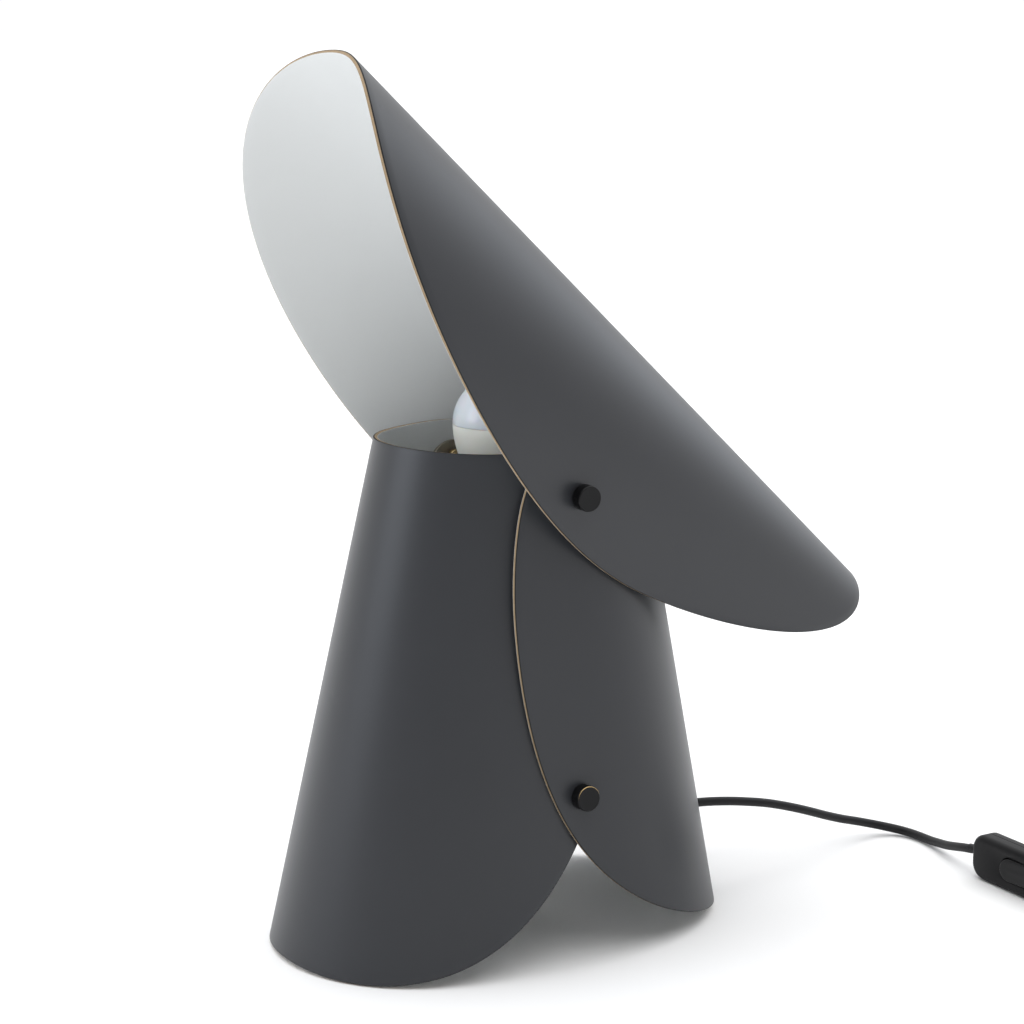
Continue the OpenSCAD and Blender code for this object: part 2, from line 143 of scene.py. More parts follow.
# ---------------------------------------------------------------- meshes from arrays


def closed_skin(rings):
    """Points and faces of a closed skin: rings (m, n, 3) joined in order, each end closed by a fan to its middle."""
    m, n = rings.shape[:2]
    points = np.concatenate([rings.reshape(-1, 3), rings[:1].mean(1), rings[-1:].mean(1)])
    i, j = np.meshgrid(np.arange(m - 1), np.arange(n), indexing="ij")
    after = (j + 1) % n
    quads = np.stack([i * n + j, i * n + after, (i + 1) * n + after, (i + 1) * n + j], -1).reshape(-1, 4)
    j = np.arange(n)
    after = (j + 1) % n
    first = np.stack([np.full(n, m * n), after, j], -1)
    last = np.stack([np.full(n, m * n + 1), (m - 1) * n + j, (m - 1) * n + after], -1)
    return points, quads, np.concatenate([first, last])


def loop_skin(rings):
    """Points and faces of a skin closed both ways: rings (m, n, 3), the last joined to the first."""
    m, n = rings.shape[:2]
    i, j = np.meshgrid(np.arange(m), np.arange(n), indexing="ij")
    next_i, after = (i + 1) % m, (j + 1) % n
    quads = np.stack([i * n + j, i * n + after, next_i * n + after, next_i * n + j], -1).reshape(-1, 4)
    return rings.reshape(-1, 3), quads, np.zeros((0, 3), int)


def signed_volume(points, triangles):
    """Volume that triangles enclose, above zero where they face outwards."""
    a, b, c = (points[triangles[:, k]] for k in range(3))
    return float((a * np.cross(b, c)).sum() / 6)


def joined(*skins):
    """Several skins as one."""
    points, quads, fans, start = [], [], [], 0
    for p, q, f in skins:
        if signed_volume(p, np.concatenate([q[:, [0, 1, 2]], q[:, [0, 2, 3]], f])) < 0:
            q, f = q[:, ::-1], f[:, ::-1]
        points.append(p)
        quads.append(q + start)
        fans.append(f + start)
        start += len(p)
    return np.concatenate(points), np.concatenate(quads), np.concatenate(fans)


def piece(name, skins, body, material, nodes=(), crease=35, wear_and_highlight=None):
    """Makes a piece of one or more skins in metres, paints it, and lets it ride on a body in place of CAD nodes.
    The last argument gives each point's rim mark: a sheet's cut rim, and a knob's rubbed rim with its painted
    highlight."""
    points, quads, fans = joined(*skins)
    mesh = bpy.data.meshes.new(name)
    corners = np.concatenate([quads.ravel(), fans.ravel()]).astype(np.int32)
    starts = np.concatenate([np.arange(len(quads)) * 4, 4 * len(quads) + np.arange(len(fans)) * 3]).astype(np.int32)
    mesh.vertices.add(len(points))
    mesh.vertices.foreach_set("co", points.astype(np.float32).ravel())
    mesh.loops.add(len(corners))
    mesh.loops.foreach_set("vertex_index", corners)
    mesh.polygons.add(len(starts))
    mesh.polygons.foreach_set("loop_start", starts)
    mesh.update(calc_edges=True)
    mesh.validate()
    mesh.shade_smooth()
    mesh.set_sharp_from_angle(angle=np.radians(crease))
    if wear_and_highlight is not None:
        mesh.attributes.new("wear_and_highlight", "FLOAT", "POINT").data.foreach_set("value", wear_and_highlight(points).astype(np.float32))
    obj = bpy.data.objects.new(name, mesh)
    bpy.context.scene.collection.objects.link(obj)
    mesh.materials.append(material)
    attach(obj, body)
    if nodes:
        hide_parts(*nodes)
    return obj


def unit(v):
    """Vectors of length 1 along the last axis."""
    return v / np.linalg.norm(v, axis=-1, keepdims=True)


def across(axis):
    """Two directions square to an axis and to each other."""
    axis = unit(np.asarray(axis, float))
    helper = np.array([0, 0, 1.0]) if abs(axis[2]) < 0.9 else np.array([1.0, 0, 0])
    side = unit(np.cross(helper, axis))
    return side, np.cross(axis, side)


def turned(profile, place, axis=(0, 0, 1), steps=64):
    """Rings of a turned piece: each (radius, height) of the profile goes round the axis through place."""
    profile = np.asarray(profile, float)
    axis = unit(np.asarray(axis, float))
    side, up = across(axis)
    angle = np.linspace(0, 2 * np.pi, steps, endpoint=False)
    circle = np.cos(angle)[:, None] * side + np.sin(angle)[:, None] * up
    return np.asarray(place) + profile[:, :1, None] * circle + profile[:, 1:, None] * axis


def rounded(points, radius, steps=5):
    """A profile whose inner corners are swapped for quadratic curves that start radius away from each corner."""
    points = np.asarray(points, float)
    before, corner, after = points[:-2], points[1:-1], points[2:]
    reach = np.minimum(radius, 0.45 * np.minimum(
        np.linalg.norm(before - corner, axis=1), np.linalg.norm(after - corner, axis=1)))[:, None]
    a, b = corner + reach * unit(before - corner), corner + reach * unit(after - corner)
    t = np.linspace(0, 1, steps)[None, :, None]
    curves = (1 - t) ** 2 * a[:, None] + 2 * t * (1 - t) * corner[:, None] + t ** 2 * b[:, None]
    return np.concatenate([points[:1], curves.reshape(-1, points.shape[1]), points[-1:]])


def flowing(points, step):
    """A Catmull-Rom curve through points, as points about step apart."""
    p = np.asarray(points, float)
    ends = np.concatenate([2 * p[:1] - p[1:2], p, 2 * p[-1:] - p[-2:-1]])
    count = max(2, int(np.ceil(np.linalg.norm(np.diff(p, axis=0), axis=1).max() / step)) + 1)
    t = np.linspace(0, 1, count, endpoint=False)[None, :, None]
    a, b, c, d = (ends[k : len(p) - 1 + k, None] for k in range(4))
    curve = 0.5 * (2 * b + (c - a) * t + (2 * a - 5 * b + 4 * c - d) * t ** 2 + (3 * b - a - 3 * c + d) * t ** 3)
    return np.concatenate([curve.reshape(-1, 3), p[-1:]])


def tube(path, radius, level=(0, 0, 1), steps=20):
    """Rings of a round tube along a path: each is square to the line between the path's neighbouring points."""
    way = unit(np.gradient(path, axis=0))
    side = unit(np.cross(way, np.asarray(level, float)))
    up = np.cross(side, way)
    angle = np.linspace(0, 2 * np.pi, steps, endpoint=False)[None, :, None]
    radius = np.broadcast_to(radius, len(path))[:, None, None]
    return path[:, None] + radius * (np.cos(angle) * side[:, None] + np.sin(angle) * up[:, None])


# ---------------------------------------------------------------- materials


class Socket:
    """A socket whose arithmetic adds Math nodes to its material."""

    def __init__(self, paint, socket):
        self.paint = paint
        self.socket = socket

    def math(self, operation, *values):
        return self.paint.node("ShaderNodeMath", {"operation": operation}, dict(enumerate(values)))

    def __add__(self, other):
        return self.math("ADD", self, other)

    def __sub__(self, other):
        return self.math("SUBTRACT", self, other)

    def __mul__(self, other):
        return self.math("MULTIPLY", self, other)

    def __truediv__(self, other):
        return self.math("DIVIDE", self, other)

    def __pow__(self, other):
        return self.math("POWER", self, other)

    def __radd__(self, other):
        return self.math("ADD", other, self)

    def __rsub__(self, other):
        return self.math("SUBTRACT", other, self)

    def __rmul__(self, other):
        return self.math("MULTIPLY", other, self)


class Paint:
    """A material under construction."""

    def __init__(self, name):
        self.material = bpy.data.materials.new(name)
        self.material.use_nodes = True
        self.tree = self.material.node_tree
        self.shader = self.tree.nodes["Principled BSDF"]

    def node(self, kind, settings=None, inputs=None, output=0):
        """Adds a node: its settings first, then the values or links of its sockets."""
        made = self.tree.nodes.new(kind)
        for key, value in (settings or {}).items():
            setattr(made, key, value)
        for key, value in (inputs or {}).items():
            self.feed(made.inputs[key], value)
        return Socket(self, made.outputs[output])

    def feed(self, socket, value):
        """Links a Socket, or sets a constant."""
        if isinstance(value, Socket):
            self.tree.links.new(value.socket, socket)
        elif socket.type == "RGBA":
            socket.default_value = (*value, 1) if len(value) == 3 else value
        else:
            socket.default_value = value

    def set(self, **sockets):
        """Feeds the shader's own sockets; a socket's spaces are written as underscores."""
        for key, value in sockets.items():
            self.feed(self.shader.inputs[key.replace("_", " ")], value)
        return self

    def attribute(self, name):
        """A point's own value."""
        return self.node("ShaderNodeAttribute", {"attribute_name": name}, output="Fac")

    def place(self, stretch=(1, 1, 1)):
        """Object coordinates in metres, stretched."""
        coords = self.node("ShaderNodeTexCoord", output="Object")
        return self.node("ShaderNodeMapping", {}, {"Vector": coords, "Scale": stretch})

    def noise(self, scale, detail=3, rough=0.5, stretch=(1, 1, 1)):
        """Grey noise of so many cells a metre."""
        return self.node("ShaderNodeTexNoise", {}, {
            "Vector": self.place(stretch), "Scale": scale, "Detail": detail, "Roughness": rough})

    def mix(self, amount, one, other):
        """A colour between one and other."""
        return self.node("ShaderNodeMix", {"data_type": "RGBA"}, {
            0: amount, 6: one, 7: other}, output=2)

    def window(self, value, low, high):
        """0 below low, 1 above high, and a smooth step between them."""
        return self.node("ShaderNodeMapRange", {"interpolation_type": "SMOOTHSTEP"}, {
            "Value": value, "From Min": low, "From Max": high})

    def bump(self, height, distance, strength=1.0):
        """A normal from a height that is so many metres from 0 to 1."""
        return self.node("ShaderNodeBump", {}, {"Height": height, "Distance": distance, "Strength": strength})


def shaded(colour, factor):
    """A colour lighter or darker by a factor."""
    return tuple(min(1.0, c * factor) for c in colour)


MATERIALS = {}


def once(maker):
    """Makes each material once, and hands out the same one afterwards."""
    def wrapper():
        if maker.__name__ not in MATERIALS:
            MATERIALS[maker.__name__] = maker().material
        return MATERIALS[maker.__name__]
    return wrapper


@once
def face_laminate():
    """Satin dark slate laminate: faint clouds, a fine pebble and softened rubs. Its cut rim is rough and near black."""
    paint = Paint("face_laminate")
    colour = tuple(bpy.context.scene.lamp_sheets.face_colour)
    cut = paint.attribute("wear_and_highlight")
    cloud = paint.noise(14, 4, 0.55)
    pebble = paint.noise(2200, 2, 0.5)
    rub = paint.window(paint.noise(55, 5, 0.7, (1, 1, 3)), 0.66, 0.78)
    chip = paint.noise(1300, 4, 0.7)
    base = paint.mix(cloud, shaded(colour, 0.9), shaded(colour, 1.12))
    base = paint.mix(rub * 0.10, base, shaded(colour, 1.9))
    return paint.set(
        Base_Color=paint.mix(cut * (0.75 + chip * 0.5), base, (0.006, 0.006, 0.006)),
        Roughness=0.36 + cloud * 0.06 + rub * 0.05 + cut * 0.4,
        Normal=paint.bump(pebble + cloud * 0.4 + cut * chip * 8, 0.000012, 0.8),
        Specular_IOR_Level=0.42)


@once
def core_board():
    """Cut edge of pressed board: tan fibre with darker resin specks and saw streaks."""
    paint = Paint("core_board")
    colour = tuple(bpy.context.scene.lamp_sheets.core_colour)
    fibre = paint.noise(900, 4, 0.65)
    streak = paint.noise(160, 3, 0.6, (1, 1, 2))
    speck = paint.window(paint.noise(1600, 2), 0.60, 0.70)
    base = paint.mix(streak, shaded(colour, 0.72), shaded(colour, 1.3))
    return paint.set(
        Base_Color=paint.mix(speck * 0.45, base, shaded(colour, 0.4)),
        Roughness=0.72 + fibre * 0.16,
        Normal=paint.bump(fibre, 0.00008, 0.8))


@once
def liner_laminate():
    """Off-white laminate with a soft sheen, faint clouds and a fine pebble."""
    paint = Paint("liner_laminate")
    colour = tuple(bpy.context.scene.lamp_sheets.liner_colour)
    cloud = paint.noise(9, 4, 0.6)
    pebble = paint.noise(1800, 2)
    dust = paint.window(paint.noise(420, 4, 0.7), 0.66, 0.72)
    base = paint.mix(cloud, shaded(colour, 0.96), shaded(colour, 1.03))
    return paint.set(
        Base_Color=paint.mix(dust * 0.10, base, shaded(colour, 0.7)),
        Roughness=0.50 + cloud * 0.08,
        Normal=paint.bump(pebble, 0.000012, 0.7))


@once
def knob_lacquer():
    """Satin black lacquer on turned brass: brass shows at the rim where the attribute marks it, partly rubbed-through
    lacquer and partly a painted highlight.
    """
    paint = Paint("knob_lacquer")
    rim_wear_and_highlight = paint.attribute("wear_and_highlight")
    patch = paint.noise(260, 4, 0.65)
    # Brass at the rim: partly rubbed-through lacquer, partly a painted highlight along the top of the rim.
    bare_brass_and_highlight = paint.window(rim_wear_and_highlight * 1.15 + patch * 0.7, 0.86, 1.06)
    return paint.set(
        Base_Color=paint.mix(bare_brass_and_highlight, (0.003, 0.003, 0.0035), (0.42, 0.30, 0.15)),
        Metallic=bare_brass_and_highlight,
        Roughness=0.34 + patch * 0.12,
        Normal=paint.bump(paint.noise(1500, 3), 0.00002, 0.7),
        Specular_IOR_Level=0.22)


@once
def turned_brass():
    """Turned brass, a little dulled in patches."""
    paint = Paint("turned_brass")
    dull = paint.noise(220, 4, 0.6)
    return paint.set(
        Base_Color=paint.mix(dull, (0.34, 0.25, 0.12), (0.52, 0.40, 0.21)),
        Metallic=1.0,
        Roughness=0.24 + dull * 0.25,
        Normal=paint.bump(paint.noise(2600, 2), 0.00001, 0.6))


@once
def plated_steel():
    """Zinc-plated steel with a mottled plate and fine scratches."""
    paint = Paint("plated_steel")
    mottle = paint.noise(320, 4, 0.6)
    scratch = paint.noise(2400, 2, 0.5, (1, 0.08, 1))
    return paint.set(
        Base_Color=paint.mix(mottle, (0.36, 0.35, 0.33), (0.52, 0.51, 0.48)),
        Metallic=1.0,
        Roughness=0.26 + mottle * 0.16 + scratch * 0.10,
        Normal=paint.bump(scratch, 0.00001, 0.6))


@once
def bracket_strip():
    """Dull brownish-grey steel strip, rolled lengthways, with darker stains."""
    paint = Paint("bracket_strip")
    stain = paint.noise(90, 4, 0.65)
    rolled = paint.noise(1500, 3, 0.6, (1, 1, 0.05))
    return paint.set(
        Base_Color=paint.mix(stain, (0.27, 0.24, 0.19), (0.40, 0.365, 0.30)),
        Metallic=0.75,
        Roughness=0.38 + stain * 0.16 + rolled * 0.08,
        Normal=paint.bump(rolled, 0.00002, 0.6))


@once
def bulb_plastic():
    """Warm white moulded plastic with a faint grain."""
    paint = Paint("bulb_plastic")
    tone = paint.noise(60, 3)
    return paint.set(
        Base_Color=paint.mix(tone, (0.86, 0.84, 0.76), (0.91, 0.89, 0.82)),
        Roughness=0.36 + tone * 0.08,
        Normal=paint.bump(paint.noise(2400, 2), 0.00001, 0.6),
        Subsurface_Weight=0.15, Subsurface_Scale=0.004)


@once
def bulb_diffuser():
    """Frosted cool white diffuser with a smooth skin."""
    paint = Paint("bulb_diffuser")
    tone = paint.noise(35, 3)
    return paint.set(
        Base_Color=paint.mix(tone, (0.61, 0.625, 0.675), (0.67, 0.685, 0.73)),
        Roughness=0.26 + tone * 0.06,
        Normal=paint.bump(paint.noise(3000, 2), 0.000005, 0.5),
        Subsurface_Weight=0.35, Subsurface_Scale=0.006, Coat_Weight=0.3, Coat_Roughness=0.12)


@once
def bulb_shell_metal():
    """Nickelled screw cap, slightly cloudy."""
    paint = Paint("bulb_shell_metal")
    cloud = paint.noise(150, 4)
    return paint.set(
        Base_Color=paint.mix(cloud, (0.52, 0.51, 0.49), (0.68, 0.67, 0.64)),
        Metallic=1.0, Roughness=0.20 + cloud * 0.18)


@once
def lamp_board():
    """White circuit board, clouded slightly darker in places."""
    paint = Paint("lamp_board")
    haze = paint.noise(260, 3)
    return paint.set(
        Base_Color=paint.mix(haze, (0.62, 0.63, 0.58), (0.74, 0.75, 0.70)), Roughness=0.32 + haze * 0.1)


@once
def moulded_black():
    """Black moulded plastic with a spark-eroded grain that breaks up its sheen."""
    paint = Paint("moulded_black")
    grain = paint.noise(1300, 3, 0.6)
    tone = paint.noise(40, 3)
    return paint.set(
        Base_Color=paint.mix(tone, (0.004, 0.004, 0.0047), (0.006, 0.006, 0.007)),
        Roughness=0.40 + grain * 0.14,
        Normal=paint.bump(grain, 0.00003, 0.8),
        Specular_IOR_Level=0.2)


@once
def rocker_black():
    """Smooth black plastic, polished by fingers in soft patches."""
    paint = Paint("rocker_black")
    touch = paint.noise(180, 4, 0.6)
    return paint.set(
        Base_Color=paint.mix(touch, (0.004, 0.004, 0.0047), (0.006, 0.006, 0.007)),
        Roughness=0.26 + touch * 0.16,
        Normal=paint.bump(paint.noise(1800, 2), 0.00001, 0.6),
        Specular_IOR_Level=0.24)


@once
def cord_sheath():
    """Black cord sheath: a dull sheen with long soft ripples and a fine drag grain."""
    paint = Paint("cord_sheath")
    colour = tuple(bpy.context.scene.lamp_cord.colour)
    ripple = paint.noise(120, 3)
    grain = paint.noise(2600, 2)
    return paint.set(
        Base_Color=paint.mix(ripple, shaded(colour, 0.8), shaded(colour, 1.5)),
        Roughness=0.42 + ripple * 0.14,
        Normal=paint.bump(ripple + grain * 0.3, 0.00004, 0.7),
        Specular_IOR_Level=0.25)


@once
def woven_strap():
    """Black woven hook-and-loop strap: crossed ribs about half a millimetre apart."""
    paint = Paint("woven_strap")
    ribs = paint.node("ShaderNodeTexWave", {"wave_type": "RINGS", "rings_direction": "Z"}, {
        "Vector": paint.place(), "Scale": 300, "Distortion": 1.5})
    rows = paint.node("ShaderNodeTexWave", {"bands_direction": "Z"}, {
        "Vector": paint.place(), "Scale": 300, "Distortion": 1.0})
    weave = ribs * rows
    return paint.set(
        Base_Color=paint.mix(weave, (0.010, 0.010, 0.011), (0.030, 0.030, 0.032)),
        Roughness=0.82 + weave * 0.1,
        Normal=paint.bump(weave, 0.0002, 0.8))


@once
def plain_floor():
    """Pale matt floor with the faintest clouding."""
    paint = Paint("plain_floor")
    colour = tuple(bpy.context.scene.lamp_stage.floor_colour)
    cloud = paint.noise(3, 3)
    return paint.set(Base_Color=paint.mix(cloud, shaded(colour, 0.99), colour), Roughness=0.9 + cloud * 0.05)


# ---------------------------------------------------------------- bent sheets


@dataclass
class Sheet:
    """A bent sheet. Its blank is an oval. Its section turns from the spine, u = 0, towards flaps at 90 degrees
    plus a toe-in that then settles, and grows evenly along the leaning spine, so all its straight lines would
    meet in one point. way is the side that the flaps point to. Angles are in degrees and lengths in metres."""

    name: str
    body: str
    way: int
    y: float
    z: float
    lean: float
    bend: float
    ease: float
    growth: float
    toe: float
    settle: float
    half: float
    middle: float
    up: float
    down: float
    top: tuple
    bottom: tuple

    def turn(self, u):
        """Angle of the section at u, in radians."""
        bent = (90 - self.toe) * (1 - np.clip(1 - u / self.bend, 0, 1) ** (self.ease + 1))
        t = np.clip((u - self.bend) / self.settle, 0, 1)
        flap = 90 - self.toe * (1 - t * t * (3 - 2 * t))
        return np.radians(np.where(u < self.bend, bent, flap))

    def section(self):
        """u, sideways and forwards distance along the section, from short chords added up."""
        u = np.linspace(0, self.half, 3001)
        way = self.turn((u[1:] + u[:-1]) / 2)
        step = u[1] * np.stack([np.cos(way), np.sin(way)])
        return u, *np.concatenate([np.zeros((2, 1)), np.cumsum(step, 1)], 1)

    def outline(self, count):
        """Closed outline of the blank as (u, distance along the spine), evenly spaced from the top of the spine."""
        angle = np.linspace(0, 2 * np.pi, 8001)
        w = np.abs(np.sin(angle))
        upper = self.middle - self.up * swell(self.top, w)
        lower = self.middle + self.down * swell(self.bottom, w)
        rim = np.stack([self.half * np.sin(angle), np.where(np.cos(angle) > 0, upper, lower)], -1)
        far = np.concatenate([[0], np.cumsum(np.linalg.norm(np.diff(rim, axis=0), axis=1))])
        even = np.linspace(0, far[-1], count, endpoint=False)
        return np.stack([np.interp(even, far, rim[:, 0]), np.interp(even, far, rim[:, 1])], -1)

    def point(self, flat, out):
        """Where a point of the blank lies once bent, moved out by so much, square to the sheet."""
        u, along = flat[..., 0], flat[..., 1]
        table, side, forward = self.section()
        a = np.abs(u)
        way, scale = self.turn(a), 1 + self.growth * along
        lean = np.radians(self.lean)
        spine = np.array([0, -self.way * np.sin(lean), -np.cos(lean)])
        flap = np.array([0, self.way * np.cos(lean), -np.sin(lean)])
        x = np.sign(u) * (scale * np.interp(a, table, side) + out * np.sin(way))
        f = scale * np.interp(a, table, forward) - out * np.cos(way)
        return (np.array([0, self.y, self.z]) + along[..., None] * spine + f[..., None] * flap
                + x[..., None] * np.array([1.0, 0, 0]))


def swell(shape, w):
    """Half height of an outline at w of its half width: a rounded power curve times a swelling."""
    power, root, second, third, fourth = shape
    return np.maximum(1 - w ** power, 0) ** (1 / root) * (1 + second * w ** 2 + third * w ** 3 + fourth * w ** 4)


SHADE = Sheet(
    "shade", "shade", -1, y=-118.3 * MM, z=468 * MM, lean=47.3, bend=302 * MM, ease=1.43, growth=-1.445, toe=0,
    settle=50 * MM, half=245 * MM, middle=260 * MM, up=307.5 * MM, down=161.9 * MM,
    top=(2.23, 1.82, 0.68, -2.33, 1.29), bottom=(2.36, 1.99, 0.78, -0.9, 0.5))
FRONT = Sheet(
    "front_sheet", "root", 1, y=-146.8 * MM, z=191.9 * MM, lean=13.2, bend=164 * MM, ease=0.6, growth=1.385,
    toe=-6.36, settle=53 * MM, half=178 * MM, middle=-16.5 * MM, up=82 * MM, down=211.4 * MM,
    top=(12.2, 1, 0.43, 0.02, -0.06), bottom=(2.45, 1.31, 0.29, -0.26, 0.13))
REAR = Sheet(
    "rear_sheet", "root", -1, y=30.2 * MM, z=267 * MM, lean=10.7, bend=120 * MM, ease=0.23, growth=1.35,
    toe=0.86, settle=50 * MM, half=158 * MM, middle=47.5 * MM, up=90.5 * MM, down=224 * MM,
    top=(15.24, 1.95, -4.86, 10.94, -6.32), bottom=(2.1, 2.04, -0.04, 0.14, 0))

BOND = 0.02 * MM


def ply(sheet, part, inner, outer, chamfer, material):
    """One ply of a sheet between two distances out from its middle surface. Rings run from the middle of the blank
    to its rim on one side, round the rim, and back on the other. chamfer is the rounding at the inner and at the
    outer corner of the rim. The wear attribute is 1 where the rim is cut."""
    settings = bpy.context.scene.lamp_sheets
    rim = sheet.outline(settings.rim_steps)
    way = unit(np.roll(rim, -1, 0) - np.roll(rim, 1, 0))
    inwards = np.stack([-way[:, 1], way[:, 0]], -1)
    heart = np.array([0, sheet.middle + (sheet.down - sheet.up) / 2])
    inwards *= np.sign(((heart - rim) * inwards).sum(1)).mean()

    def side(radius, level):
        """Rings over one side, from near the middle to the rounding of the rim."""
        share = np.linspace(0, 1, settings.rings + 1)[1:, None, None]
        return [(ring, level, 0) for ring in heart + share * (rim + radius * inwards - heart)]

    def corner(radius, level, sign):
        """Rings round one corner of the rim, from its side to the cut."""
        angle = np.radians([30, 60, 90]) if radius > 0 else np.array([90])
        return [(rim + radius * (1 - np.sin(a)) * inwards, level - sign * radius * (1 - np.cos(a)), 1)
                for a in angle]

    flat = side(chamfer[1], outer) + corner(chamfer[1], outer, 1)
    flat += corner(chamfer[0], inner, -1)[::-1] + side(chamfer[0], inner)[::-1]
    rings = np.array([sheet.point(ring, out) for ring, out, _ in flat])
    cut = np.repeat([mark for _, _, mark in flat], len(rim))
    return piece(f"{sheet.name}_{part}_sheet", [closed_skin(rings)], sheet.body, material,
                 [f"{sheet.name}_{part}"], crease=50, wear_and_highlight=lambda points: np.append(cut, [0, 0]))


class LAMP_OT_sheets(bpy.types.Operator):
    """Make the shade and the two base sheets, ply by ply"""

    bl_idname = "lamp.sheets"
    bl_label = "Bent Sheets"

    def execute(self, context):
        settings = context.scene.lamp_sheets
        half = (settings.core + settings.face + settings.liner) / 2
        outside, inside = half - settings.face, settings.liner - half
        for sheet in (SHADE, FRONT, REAR):
            ply(sheet, "face", outside + BOND, half, (0, 0.5 * MM), face_laminate())
            ply(sheet, "core", inside, outside, (0, 0.04 * MM), core_board())
            ply(sheet, "liner", -half, inside - BOND, (0.05 * MM, 0), liner_laminate())
        return {"FINISHED"}


# ---------------------------------------------------------------- knobs and fixings


def joint(name):
    """Place and axis of a joint of the frame, as arrays."""
    found = next(j for j in frame["joints"] if j["name"] == name)
    return np.array(found["pos_m"], float), unit(np.array(found["axis"], float))


def middle(node):
    """Middle of a CAD node's box."""
    low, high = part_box(node)
    return (np.array(low) + np.array(high)) / 2


class LAMP_OT_knobs(bpy.types.Operator):
    """Make the four clamp knobs, with lacquer rubbed off their rims, most on the one most handled, and a painted
    highlight along the top of each rim
    """

    bl_idname = "lamp.knobs"
    bl_label = "Clamp Knobs"

    def execute(self, context):
        self.knob("upper_knob_right", 0, 0.3)
        self.knob("upper_knob_left", 0, 0.3)
        self.knob("lower_knob_right", 2.3 * MM, 1.0)
        self.knob("lower_knob_left", 2.3 * MM, 0.6)
        return {"FINISHED"}

    def knob(self, body, seat, rim_wear_and_highlight):
        """A turned knob that stands seat along its joint's axis: soft rim, faintly dished face, bore below."""
        radius, height, bore = 7.2 * MM, 7.2 * MM, 2.52 * MM
        place, axis = joint(body + "_turn")
        place = place + seat * axis
        shape = [(0, 5 * MM), (bore, 5 * MM), (bore, 0), (radius - 0.3 * MM, 0), (radius, 0.3 * MM),
                 (radius, 6.5 * MM), (radius - 0.5 * MM, height), (radius - 1.4 * MM, height - 0.05 * MM),
                 (0, height - 0.18 * MM)]
        rings = turned(rounded(shape, 0.6 * MM), place, axis, 96)

        def wear_and_highlight(points):
            """Marked at the rim of the face: rubbed-through lacquer, with a painted highlight that makes the mark
            strongest at its top.
            """
            away = points - place
            up = away @ axis
            out = np.linalg.norm(away - up[:, None] * axis, axis=1)
            # Painted highlight: the rim's mark grows towards its top, where the light falls.
            high = 0.5 + 0.55 * away[:, 2] / np.maximum(out, 1e-6)
            return rim_wear_and_highlight * high * np.exp(-(((out - radius + 0.25 * MM) ** 2 + (up - height) ** 2) / (0.45 * MM) ** 2))

        piece(body + "_turned", [closed_skin(rings[1:-1])], body, knob_lacquer(), [body], wear_and_highlight=wear_and_highlight)


def band(profile, place, axis=(0, 0, 1), radius=0.3 * MM, steps=64):
    """Skin of a turned piece with a hole: the profile is closed, with softened corners."""
    profile = np.asarray(profile, float)
    closed = rounded(np.concatenate([profile[-1:], profile, profile[:1]]), radius)[1:-1]
    return loop_skin(turned(closed, place, axis, steps))


def thread(radius, depth, start, end, pitch):
    """Profile of a round thread, drawn as rings pitch apart, from start to end along the axis."""
    z = np.linspace(start, end, int(6 * abs(end - start) / pitch) + 1)
    return np.stack([radius - depth * (0.5 - 0.5 * np.cos(2 * np.pi * (z - start) / pitch)), z], -1)


class LAMP_OT_fixings(bpy.types.Operator):
    """Make the screws, nuts, washers and spacers"""

    bl_idname = "lamp.fixings"
    bl_label = "Screws and Nuts"

    def execute(self, context):
        pivot, right = joint("shade_tilt")
        nut_x, spacer_x, nut_back, washer_back = 54 * MM, 71 * MM, 10 * MM, 5.9 * MM
        nut = np.array([(2.6, 0), (3.5, 0), (3.7, 0.5), (4.4, 0.5), (5, 1), (5, 4), (2.6, 4)]) * MM
        spacer = np.array([(2.6, 0), (7, 0), (7, 8.4), (2.6, 8.4)]) * MM
        washer = np.array([(2.6, 0), (6, 0), (6, 1), (2.6, 1)]) * MM
        piece("pivot_nuts", [band(nut, [side * nut_x, *pivot[1:]], side * right) for side in (1, -1)],
              "root", turned_brass(), ["upper_nuts"])
        piece("pivot_spacer_rings", [band(spacer, [side * spacer_x, *pivot[1:]], side * right) for side in (1, -1)],
              "root", plated_steel(), ["pivot_spacers"])
        nuts, washers = [], []
        for body in ("lower_knob_right", "lower_knob_left"):
            place, axis = joint(body + "_turn")
            nuts.append(band(nut * [0.9, 1], place - nut_back * axis, axis))
            washers.append(band(washer, place - washer_back * axis, axis))
            self.screw(body, place, axis, -11.4 * MM, 7.2 * MM)
        for body in ("upper_knob_right", "upper_knob_left"):
            place, axis = joint(body + "_turn")
            self.screw(body, place, axis, -32.5 * MM, 4.9 * MM)
        piece("lower_nut_rings", nuts, "root", turned_brass(), ["lower_nuts"])
        piece("lower_washer_rings", washers, "root", plated_steel(), ["lower_washers"])
        return {"FINISHED"}

    def screw(self, body, place, axis, start, end):
        """A knob's screw with a round thread and a rounded tip."""
        ridges = thread(2.5 * MM, 0.28 * MM, start + 0.8 * MM, end, 0.8 * MM)
        shape = np.concatenate([[[0.4 * MM, start], [1.9 * MM, start + 0.1 * MM]], ridges])
        node = body.replace("knob", "screw")
        piece(node + "_threaded", [closed_skin(turned(shape, place, axis, 40))], body,
              turned_brass(), [node])


# ---------------------------------------------------------------- lamp holder and bulb


